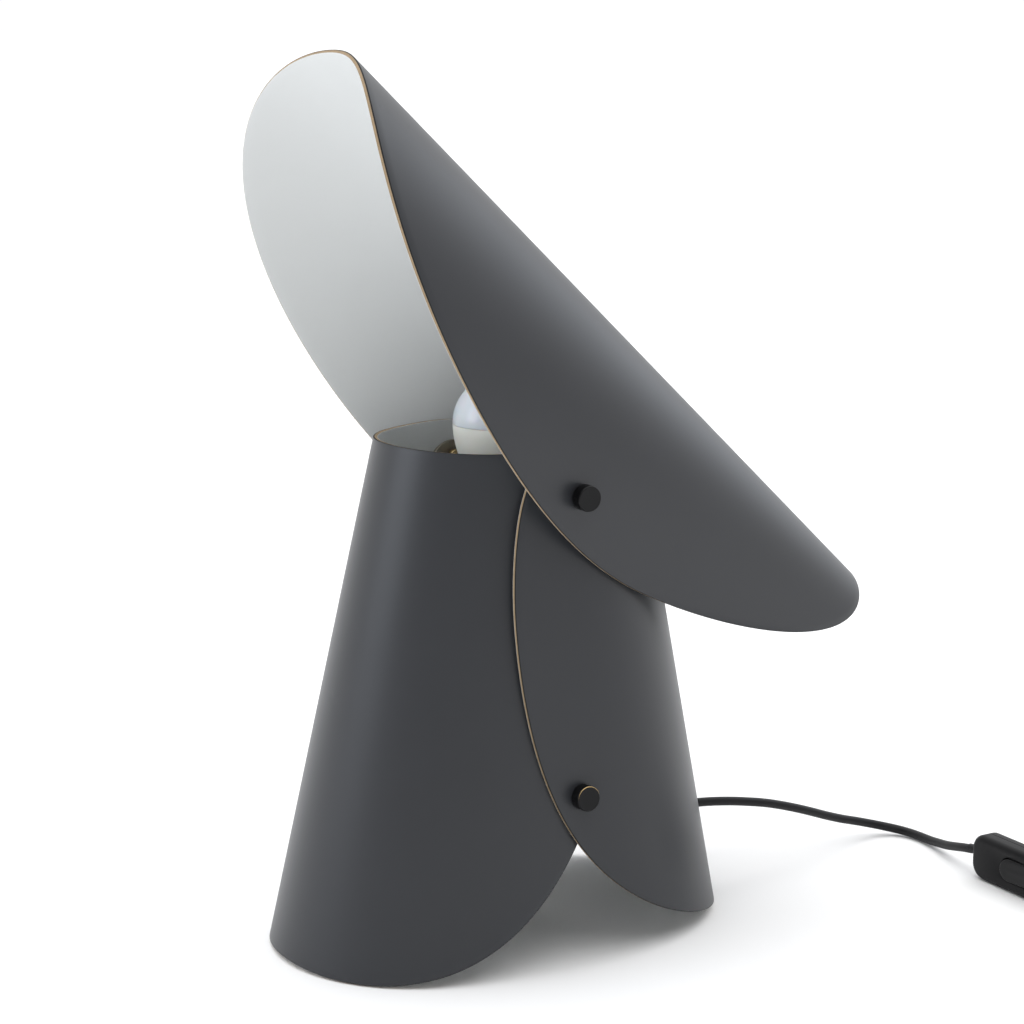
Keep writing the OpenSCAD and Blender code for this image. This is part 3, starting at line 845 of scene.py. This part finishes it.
class LAMP_OT_holder(bpy.types.Operator):
    """Make the steel bracket and the lamp holder that stands on it"""

    bl_idname = "lamp.holder"
    bl_label = "Bracket and Holder"

    def execute(self, context):
        self.bracket()
        x, y, _ = middle("holder_body")
        low, high = (corner[2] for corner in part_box("holder_body"))
        body = np.array([(5.1, 0), (15.4, 0), (18.6, 3.2), (19, 12), (18.4, 12.6), (18.4, 14.6), (19, 15.2), (19, 35.5),
                         (20.4, 37), (20.4, 47.9), (19.4, 48.8), (16.3, 48.8), (16.3, 4), (5.1, 4)]) * MM
        body[:, 1] *= (high - low) / (48.8 * MM)
        piece("holder_shell", [band(body, [x, y, low], radius=0.6 * MM, steps=96)], "root",
              moulded_black(), ["holder_body"])
        return {"FINISHED"}

    def bracket(self):
        """A strip bent into a U: arms lean in with the flaps, and end in half circles round the pivots."""
        pivot, _ = joint("shade_tilt")
        low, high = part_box("holder_bracket")
        half, thick, bend, past = (high[1] - low[1]) / 2, 2 * MM, 4 * MM, 10 * MM
        arm_x, lean = 61 * MM, np.radians(5.4)
        top = np.array([arm_x - past * np.sin(lean), 0, pivot[2] + past * np.cos(lean)])
        corner = np.array([arm_x + (pivot[2] - low[2] - thick / 2) * np.tan(lean), 0, low[2] + thick / 2])
        flip = np.array([-1, 1, 1])
        line = rounded([top * flip, corner * flip, corner, top], bend, 8)
        far = np.concatenate([[0], np.cumsum(np.linalg.norm(np.diff(line, axis=0), axis=1))])
        end = half * (1 - np.cos(np.linspace(0.06, np.pi / 2, 14)))
        at = np.unique(np.concatenate([end, far[1:-1], np.linspace(half, far[-1] - half, 24), far[-1] - end]))
        spine = np.stack([np.interp(at, far, line[:, k]) for k in range(3)], -1)
        way = unit(np.gradient(spine, at, axis=0))
        out = np.stack([way[:, 2], 0 * at, -way[:, 0]], -1)
        reach = np.minimum(np.minimum(at, far[-1] - at), half)
        wide = np.sqrt(half ** 2 - (half - reach) ** 2)
        t, soft = thick / 2, 0.35 * MM
        edge = ((soft, t), (0, t - soft), (0, soft - t), (soft, -t))
        corners = [(1, *at_edge) for at_edge in edge] + [(-1, *at_edge) for at_edge in edge[::-1]]
        rings = np.stack([spine + (pivot[1] + side * (wide - inset)[:, None]) * np.array([0, 1.0, 0]) + lift * out
                          for side, inset, lift in corners], 1)
        piece("bracket_strip_bent", [closed_skin(rings)], "root", bracket_strip(),
              ["holder_bracket"])


class LAMP_OT_bulb(bpy.types.Operator):
    """Make the LED bulb: screw cap, plastic housing and frosted dome"""

    bl_idname = "lamp.bulb"
    bl_label = "Bulb"

    def execute(self, context):
        low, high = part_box("bulb_dome")
        x, y, _ = middle("bulb_dome")
        radius, seam, cap_top = (high[0] - low[0]) / 2, low[2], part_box("bulb_housing")[0][2]
        place = [x, y, 0]

        angle = np.linspace(0.5, 89.5, 40) * np.pi / 180
        outer = radius * np.stack([np.cos(angle), np.sin(angle)], -1) + [0, seam]
        inner = outer[::-1] * [0.95, 1] - [0, 1.2 * MM]
        lip = [[radius - 0.25 * MM, seam], [radius - 1.2 * MM, seam]]
        dome = np.concatenate([outer[::-1], lip, inner[::-1][1:]])
        piece("bulb_frosted_dome", [closed_skin(turned(dome, place, steps=96))], "root",
              bulb_diffuser(), ["bulb_dome"])

        t = np.linspace(0, 1, 30)
        wall = 14.2 * MM + (radius - 14.2 * MM) * np.sin(np.pi / 2 * t) ** 1.15
        shell = np.stack([wall, cap_top + t * (seam - 0.2 * MM - cap_top)], -1)
        groove = [[radius - 0.5 * MM, seam - 0.1 * MM], [radius - 1.8 * MM, seam - 0.1 * MM]]
        inside = shell[::-1] - [1.8 * MM, 0.1 * MM]
        inside = inside[inside[:, 1] > cap_top + 0.5 * MM]
        housing = np.concatenate([[[12.4 * MM, cap_top]], shell, groove, inside])
        piece("bulb_housing_shell", [loop_skin(turned(housing, place, steps=96))], "root",
              bulb_plastic(), ["bulb_housing"])

        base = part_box("bulb_cap")[0][2]
        ridges = thread(13 * MM, 1.1 * MM, base + 5 * MM, cap_top - 3.5 * MM, 3.6 * MM)
        cap = np.concatenate([[[4.7 * MM, base + 0.1 * MM], [8.5 * MM, base + 0.6 * MM], [11.7 * MM, base + 3.6 * MM]],
                              ridges, [[13 * MM, cap_top - 2.6 * MM], [13 * MM, cap_top - 0.1 * MM],
                                       [11.6 * MM, cap_top - 0.1 * MM], [11.4 * MM, base + 5 * MM]]])
        piece("bulb_screw_cap", [loop_skin(turned(cap, place, steps=96))], "root",
              bulb_shell_metal(), ["bulb_cap"])
        return {"FINISHED"}


# ---------------------------------------------------------------- stage


class LAMP_OT_stage(bpy.types.Operator):
    """Make the camera, the floor and the studio light"""

    bl_idname = "lamp.stage"
    bl_label = "Stage"

    def execute(self, context):
        settings = context.scene.lamp_stage
        context.scene.view_settings.view_transform = "Standard"
        target = np.array(settings.target)
        a, e = settings.azimuth, settings.elevation
        back = np.array([np.sin(a) * np.cos(e), -np.cos(a) * np.cos(e), np.sin(e)])
        camera = bpy.data.objects.new("camera", bpy.data.cameras.new("camera"))
        camera.data.lens = settings.lens
        camera.data.sensor_width = 36
        camera.location = target + settings.distance * back
        camera.rotation_euler = (np.pi / 2 - e, 0, a)
        context.scene.collection.objects.link(camera)
        context.scene.camera = camera

        self.backdrop(context, settings)
        sun = bpy.data.lights.new("overhead", "SUN")
        sun.energy = 2.3
        sun.angle = np.radians(90)
        lamp = bpy.data.objects.new("overhead", sun)
        context.scene.collection.objects.link(lamp)
        self.area("back", (-0.4, 1.9, 0.95), (0, 0, 0.3), (1.2, 1.0), 3.5, (0.80, 0.88, 1.0))
        self.area("side", (-0.6, -2.2, 0.9), (0, 0, 0.3), (1.2, 1.0), 14, (0.85, 0.91, 1.0))

        reach, squares, below = 60, 8, 0.4 * MM
        line = np.linspace(-reach, reach, squares + 1)
        x, y = np.meshgrid(line, line, indexing="ij")
        grid = np.stack([x, y, np.full_like(x, -below)], -1)
        i, j = np.meshgrid(np.arange(squares), np.arange(squares), indexing="ij")
        start = i * (squares + 1) + j
        quads = np.stack([start, start + squares + 1, start + squares + 2, start + 1], -1).reshape(-1, 4)
        mesh = bpy.data.meshes.new("floor")
        mesh.from_pydata(grid.reshape(-1, 3).tolist(), [], quads.tolist())
        mesh.materials.append(plain_floor())
        floor = bpy.data.objects.new("floor", mesh)
        context.scene.collection.objects.link(floor)
        return {"FINISHED"}

    def backdrop(self, context, settings):
        """World light: bright all over the half that the camera faces, dimmer behind the camera."""
        world = bpy.data.worlds.new("studio")
        world.use_nodes = True
        nodes, links = world.node_tree.nodes, world.node_tree.links
        look = nodes.new("ShaderNodeTexCoord")
        ahead = nodes.new("ShaderNodeVectorMath")
        ahead.operation = "DOT_PRODUCT"
        ahead.inputs[1].default_value = (-np.sin(settings.azimuth), np.cos(settings.azimuth), 0)
        bright = nodes.new("ShaderNodeMapRange")
        bright.interpolation_type = "SMOOTHSTEP"
        for key, value in (("From Min", -0.1), ("From Max", 0.35), ("To Min", settings.fill_strength),
                           ("To Max", settings.sky_strength)):
            bright.inputs[key].default_value = value
        sky = nodes["Background"]
        sky.inputs["Color"].default_value = (0.985, 0.99, 1, 1)
        links.new(look.outputs["Generated"], ahead.inputs[0])
        links.new(ahead.outputs["Value"], bright.inputs["Value"])
        links.new(bright.outputs["Result"], sky.inputs["Strength"])
        context.scene.world = world

    def area(self, name, place, target, size, watts, colour):
        """A rectangular light at place that faces target."""
        light = bpy.data.lights.new(name, "AREA")
        light.shape = "RECTANGLE"
        light.size, light.size_y = size
        light.energy = watts
        light.color = colour
        lamp = bpy.data.objects.new(name, light)
        lamp.location = place
        away = Vector(place) - Vector(target)
        lamp.rotation_euler = away.to_track_quat("Z", "Y").to_euler()
        bpy.context.scene.collection.objects.link(lamp)


# ---------------------------------------------------------------- cord

RUN_ROUTE = np.array([
    [0, 84.8, 46.7], [0, 98, 45.3], [0, 112, 43.2], [0, 125, 40.7], [0, 138, 37.8], [-0.4, 151, 34],
    [-1.2, 164, 29.6], [-2.5, 177, 24.7], [-4, 190, 19.6], [-5.4, 203, 14.9], [-6.2, 215, 11.2], [-5.6, 225.5, 8],
    [-2.6, 234.8, 5.4], [3.2, 242, 3.7], [11, 246, 2.95], [20, 247.4, 2.8], [30, 247, 3.3], [40, 245.4, 4.8],
    [50, 243.1, 6.8], [60, 241, 9.3], [70, 239.6, 11.8], [78, 239.2, 13.3], [85.9, 239.25, 14]]) * MM
TAIL_ROUTE = np.array([
    [170.1, 239.25, 14], [178, 239.4, 13.2], [187, 240.6, 10.6], [196, 244, 7.2], [204, 250.4, 4.4],
    [210.4, 258.6, 3.4], [214.6, 268.5, 3.3], [217, 281, 3.5], [217.9, 294, 3.7]]) * MM
PLUG_ROUTE = np.array([
    [165, 353, 9.35], [155, 353, 9.3], [145, 353, 8.9], [135, 353, 8.1], [126, 353, 7.6], [118.1, 353, 7.5]]) * MM
LEAD_ROUTE = np.array([
    [0, -51.3, 184.9], [0, -51.3, 170], [0, -50.7, 156], [0, -49.2, 142], [0, -46.4, 128], [0, -42, 114.5],
    [0, -36.4, 101.6], [0, -29, 90], [0, -20, 79.6], [0, -9.4, 70.6], [0, 2.4, 63.4], [0, 15, 57.9],
    [0, 28, 53.9], [0, 41, 51.5], [0, 49, 50.55], [0, 56.8, 49.7]]) * MM
COIL_CENTRE = np.array([175, 310, 0]) * MM
COIL_TURNS = 6.25
LAYER_HEIGHTS = (3.75 * MM, 9.35 * MM)


def coil_route():
    """Centre line of the coil. On the floor it spirals inwards for 2.8 turns. It climbs to the second layer on its
    smallest circle. There it goes out again in three steps, each a smooth move over about half a turn."""
    settings = bpy.context.scene.lamp_cord
    turn = np.linspace(0, COIL_TURNS, int(COIL_TURNS * 24) + 1)

    def moved(start, end):
        """0 before a number of turns, 1 after another, and a smooth step between them."""
        t = np.clip((turn - start) / (end - start), 0, 1)
        return t * t * (3 - 2 * t)

    inwards = 6.2 * MM * np.minimum(turn, 2.8)
    outwards = settings.turn_gap * sum(moved(3.25 + k, 3.8 + k) for k in range(3))
    radius = settings.coil_radius - inwards + outwards
    height = LAYER_HEIGHTS[0] + (LAYER_HEIGHTS[1] - LAYER_HEIGHTS[0]) * moved(2.6, 3)
    angle = 2 * np.pi * turn
    return COIL_CENTRE + np.stack([radius * np.cos(angle), radius * np.sin(angle), height], -1)


class LAMP_OT_cords(bpy.types.Operator):
    """Make the mains cord with its coil, and the lead inside the base"""

    bl_idname = "lamp.cords"
    bl_label = "Cords"

    def execute(self, context):
        settings = context.scene.lamp_cord
        route = np.concatenate([RUN_ROUTE, TAIL_ROUTE, coil_route(), PLUG_ROUTE])
        path = flowing(route, 3 * MM)
        gaps = np.linalg.norm(np.diff(path, axis=0), axis=1)
        path = path[np.concatenate([[True], gaps > 0.05 * MM])]
        cord = piece("mains_cord", [closed_skin(tube(path, settings.diameter / 2))], "root",
                     cord_sheath(), ["cord_run", "cord_tail", "cord_coil", "plug_lead"])
        inner = flowing(LEAD_ROUTE, 3 * MM)
        lead = piece("inner_lead_cord", [closed_skin(tube(inner, 3 * MM, (1, 0, 0)))], "root",
                     cord_sheath(), ["inner_lead"])
        return {"FINISHED"}


# ---------------------------------------------------------------- pieces on the cord


def soft_rectangle(half_l, half_h, radius, steps=10):
    """Closed outline with round corners, every corner with the same number of points."""
    angle = np.linspace(0, np.pi / 2, steps)
    signs = ((1, 1), (-1, 1), (-1, -1), (1, -1))
    arcs = [np.stack([sx * (half_l - radius) + radius * np.cos(angle + k * np.pi / 2),
                      sy * (half_h - radius) + radius * np.sin(angle + k * np.pi / 2)], -1)
            for k, (sx, sy) in enumerate(signs)]
    return np.concatenate(arcs)


class LAMP_OT_switch(bpy.types.Operator):
    """Make the in-line switch: front half with its rocker well, back half, and rocker"""

    bl_idname = "lamp.switch"
    bl_label = "Switch"

    def execute(self, context):
        low, high = (np.array(corner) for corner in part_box("switch_cover"))
        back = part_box("switch_base")[1][1]
        front, seam = low[1], high[1]
        half_l, half_h = (high[0] - low[0]) / 2, (high[2] - low[2]) / 2
        centre = (low + high) / 2
        soft = 3.6 * MM

        def ring(inset, depth, length=half_l, height=half_h, corner=9.5 * MM):
            """Outline of the switch, inset all round, at a depth."""
            flat = soft_rectangle(length - inset, height - inset, corner - inset)
            return np.stack([centre[0] + flat[:, 0], np.full(len(flat), depth), centre[2] + flat[:, 1]], -1)

        turn = np.radians(np.linspace(0, 90, 7))
        well = dict(length=14.7 * MM, height=7.4 * MM, corner=7.3 * MM)
        cover = [ring(0.25 * MM, seam), ring(0, seam - 0.25 * MM)]
        cover += [ring(soft * (1 - np.cos(a)), front + soft * (1 - np.sin(a))) for a in turn]
        cover += [ring(-0.4 * MM, front, **well), ring(-0.15 * MM, front + 0.12 * MM, **well),
                  ring(0, front + 0.5 * MM, **well), ring(0, front + 4 * MM, **well)]
        piece("switch_front_half", [closed_skin(np.array(cover))], "root", moulded_black(),
              ["switch_cover"])
        base = [ring(0.25 * MM, seam + 0.1 * MM), ring(0, seam + 0.35 * MM)]
        base += [ring(soft * (1 - np.cos(a)), back - soft * (1 - np.sin(a))) for a in turn]
        piece("switch_back_half", [closed_skin(np.array(base))], "root", moulded_black(),
              ["switch_base"])
        self.rocker(centre)
        return {"FINISHED"}

    def rocker(self, centre):
        """The rocker: a long oval key with a soft edge, dished along its length, tipped at rest."""
        axis, _ = joint("rocker_press")
        half_l, half_h, corner = 14 * MM, 7 * MM, 6.9 * MM
        turn = np.radians(np.linspace(0, 90, 6))
        soft, depth = 0.9 * MM, 7.4 * MM
        levels = [(0, 1 * MM)] + [(soft * (1 - np.cos(a)), depth - soft * (1 - np.sin(a))) for a in turn]
        levels += [(soft + 3.4 * MM * k, depth) for k in (0.5, 1, 1.5)]
        rings = []
        for inset, out in levels:
            flat = soft_rectangle(half_l - inset, half_h - inset, max(corner - inset, 0.2 * MM))
            dish = 0.5 * MM * (1 - (flat[:, 0] / half_l) ** 2) * (out > 5 * MM)
            rings.append(np.stack([flat[:, 0], dish - out, flat[:, 1]], -1))
        tip = np.radians(4)
        spin = np.array([[np.cos(tip), np.sin(tip), 0], [-np.sin(tip), np.cos(tip), 0], [0, 0, 1]])
        piece("switch_rocker_key", [closed_skin(np.array(rings) @ spin + axis)], "switch_rocker",
              rocker_black(), ["switch_rocker"])


class LAMP_OT_plug(bpy.types.Operator):
    """Make the plug's moulded body and its two pins"""

    bl_idname = "lamp.plug"
    bl_label = "Plug"

    def execute(self, context):
        low, high = (np.array(corner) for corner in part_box("plug_body"))
        length = high[0] - low[0]
        start = np.array([high[0], *((low + high) / 2)[1:]])
        nose, neck, pinch = 0.94, 3.9 * MM, 1.5 * MM
        along = np.concatenate([np.linspace(0, nose, 50), 1 - (1 - nose) * np.cos(np.linspace(0.1, np.pi / 2, 6))])
        grow = np.clip(along / 0.55, 0, 1)
        grow = grow * grow * (3 - 2 * grow)
        end = np.sqrt(np.clip(1 - (np.clip(along - nose, 0, None) / 0.065) ** 2, 0.02, 1))
        ribs = 0.35 * MM * (0.5 - 0.5 * np.cos(2 * np.pi * along * length / (3 * MM))) * (along > 0.6) * (along < 0.9)
        wide, thick = (neck + grow * ((high[k] - low[k]) / 2 - neck) - ribs - pinch * (1 - end) for k in (1, 2))
        rings = []
        for s, a, b in zip(along * length, wide, thick):
            flat = soft_rectangle(a, b, 0.97 * b, 12)
            rings.append(start + np.stack([np.full(len(flat), -s), flat[:, 0], flat[:, 1]], -1))
        piece("plug_moulding", [closed_skin(np.array(rings))], "root", moulded_black(),
              ["plug_body"])

        low, high = (np.array(corner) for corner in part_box("plug_pins"))
        pin = (high[2] - low[2]) / 2
        reach = high[0] - low[0]
        shape = rounded([(0, 0), (pin, 0), (pin, reach - 1.2 * MM), (0.55 * pin, reach), (0, reach)], 0.5 * MM)[1:-1]
        skins = [closed_skin(turned(shape, [high[0], y, (low[2] + high[2]) / 2], (-1, 0, 0), 40))
                 for y in (low[1] + pin, high[1] - pin)]
        piece("plug_pin_pair", skins, "root", plated_steel(), ["plug_pins"])
        return {"FINISHED"}


class LAMP_OT_relief(bpy.types.Operator):
    """Make the ribbed strain relief and the strap round the coil's cords"""

    bl_idname = "lamp.relief"
    bl_label = "Strain Relief and Tie"

    def execute(self, context):
        drop = np.radians(6)
        wall = np.array([0, 72.8, 48]) * MM
        neck = thread(4.2 * MM, 0.3 * MM, -16 * MM, 1.9 * MM, 1.2 * MM)
        boot = thread(4.9 * MM, 0.5 * MM, 5.2 * MM, 11.2 * MM, 2 * MM)
        boot[:, 0] -= np.linspace(0, 0.9, len(boot)) * MM
        shape = np.concatenate([[[2.9 * MM, -16 * MM]], neck, np.array([(5.8, 2), (6, 2.2), (6, 4.2), (5.6, 4.6)]) * MM,
                                boot, np.array([(3.4, 11.9), (2.76, 11.9)]) * MM])
        piece("relief_boot", [loop_skin(turned(shape, wall, (0, np.cos(drop), -np.sin(drop)), 64))], "root",
              cord_sheath(), ["strain_relief"])

        low, high = 0.1 * MM, 13.3 * MM
        inner, outer = 22.1 * MM, 46.9 * MM
        thick, soft = 0.8 * MM, 3.2 * MM
        half_w, half_h = (outer - inner) / 2, (high - low) / 2
        centre = [(inner + outer) / 2, (low + high) / 2]
        section = soft_rectangle(half_w, half_h, soft, 8) + centre
        inside = soft_rectangle(half_w - thick, half_h - thick, soft - thick, 8) + centre
        edge = 0.5 * (section + inside)
        rings = []
        for angle, profile in ((190.6, section), (190, edge), (190.6, inside), (200, inside), (209.4, inside),
                               (210, edge), (209.4, section), (200, section)):
            a = np.radians(angle)
            rings.append(COIL_CENTRE + np.stack(
                [profile[:, 0] * np.cos(a), profile[:, 0] * np.sin(a), profile[:, 1]], -1))
        piece("coil_strap", [loop_skin(np.array(rings))], "root", woven_strap(), ["cord_tie"])
        return {"FINISHED"}


class LAMP_OT_finish_kept(bpy.types.Operator):
    """Paint the CAD solids that are shown as they are"""

    bl_idname = "lamp.finish_kept"
    bl_label = "Kept Solids"

    def execute(self, context):
        kept = {
            "holder_sleeve": turned_brass, "holder_contact": turned_brass, "holder_nipple": turned_brass,
            "bulb_tip": turned_brass, "switch_contacts": turned_brass, "holder_locknut": plated_steel,
            "strain_relief_nut": plated_steel, "switch_screws": plated_steel, "bulb_board": lamp_board,
        }
        for name, maker in kept.items():
            mesh = frame["nodes"][name].data
            mesh.materials.clear()
            mesh.materials.append(maker())
        return {"FINISHED"}


# ---------------------------------------------------------------- panel and run


class LAMP_PT_panel(bpy.types.Panel):
    """Buttons that make the lamp's pieces"""

    bl_label = "Bent Lamp"
    bl_idname = "LAMP_PT_panel"
    bl_space_type = "VIEW_3D"
    bl_region_type = "UI"
    bl_category = "Bent Lamp"

    def draw(self, context):
        for operator in OPERATORS:
            self.layout.operator(operator.bl_idname)
        for group in ("lamp_sheets", "lamp_cord", "lamp_stage"):
            box = self.layout.box()
            settings = getattr(context.scene, group)
            for name in settings.bl_rna.properties.keys():
                if name not in {"rna_type", "name"}:
                    box.prop(settings, name)


OPERATORS = (
    LAMP_OT_stage, LAMP_OT_cords, LAMP_OT_sheets, LAMP_OT_knobs, LAMP_OT_fixings, LAMP_OT_holder, LAMP_OT_bulb,
    LAMP_OT_switch, LAMP_OT_plug, LAMP_OT_relief, LAMP_OT_finish_kept)
CLASSES = (LampSheetSettings, LampCordSettings, LampStageSettings, *OPERATORS, LAMP_PT_panel)


def register():
    for cls in CLASSES:
        bpy.utils.register_class(cls)
    bpy.types.Scene.lamp_sheets = bpy.props.PointerProperty(type=LampSheetSettings)
    bpy.types.Scene.lamp_cord = bpy.props.PointerProperty(type=LampCordSettings)
    bpy.types.Scene.lamp_stage = bpy.props.PointerProperty(type=LampStageSettings)


def unregister():
    for name in ("lamp_sheets", "lamp_cord", "lamp_stage"):
        delattr(bpy.types.Scene, name)
    for cls in reversed(CLASSES):
        bpy.utils.unregister_class(cls)


def main():
    register()
    for operator in OPERATORS:
        group, name = operator.bl_idname.split(".")
        getattr(getattr(bpy.ops, group), name)()


if __name__ == "__main__":
    main()
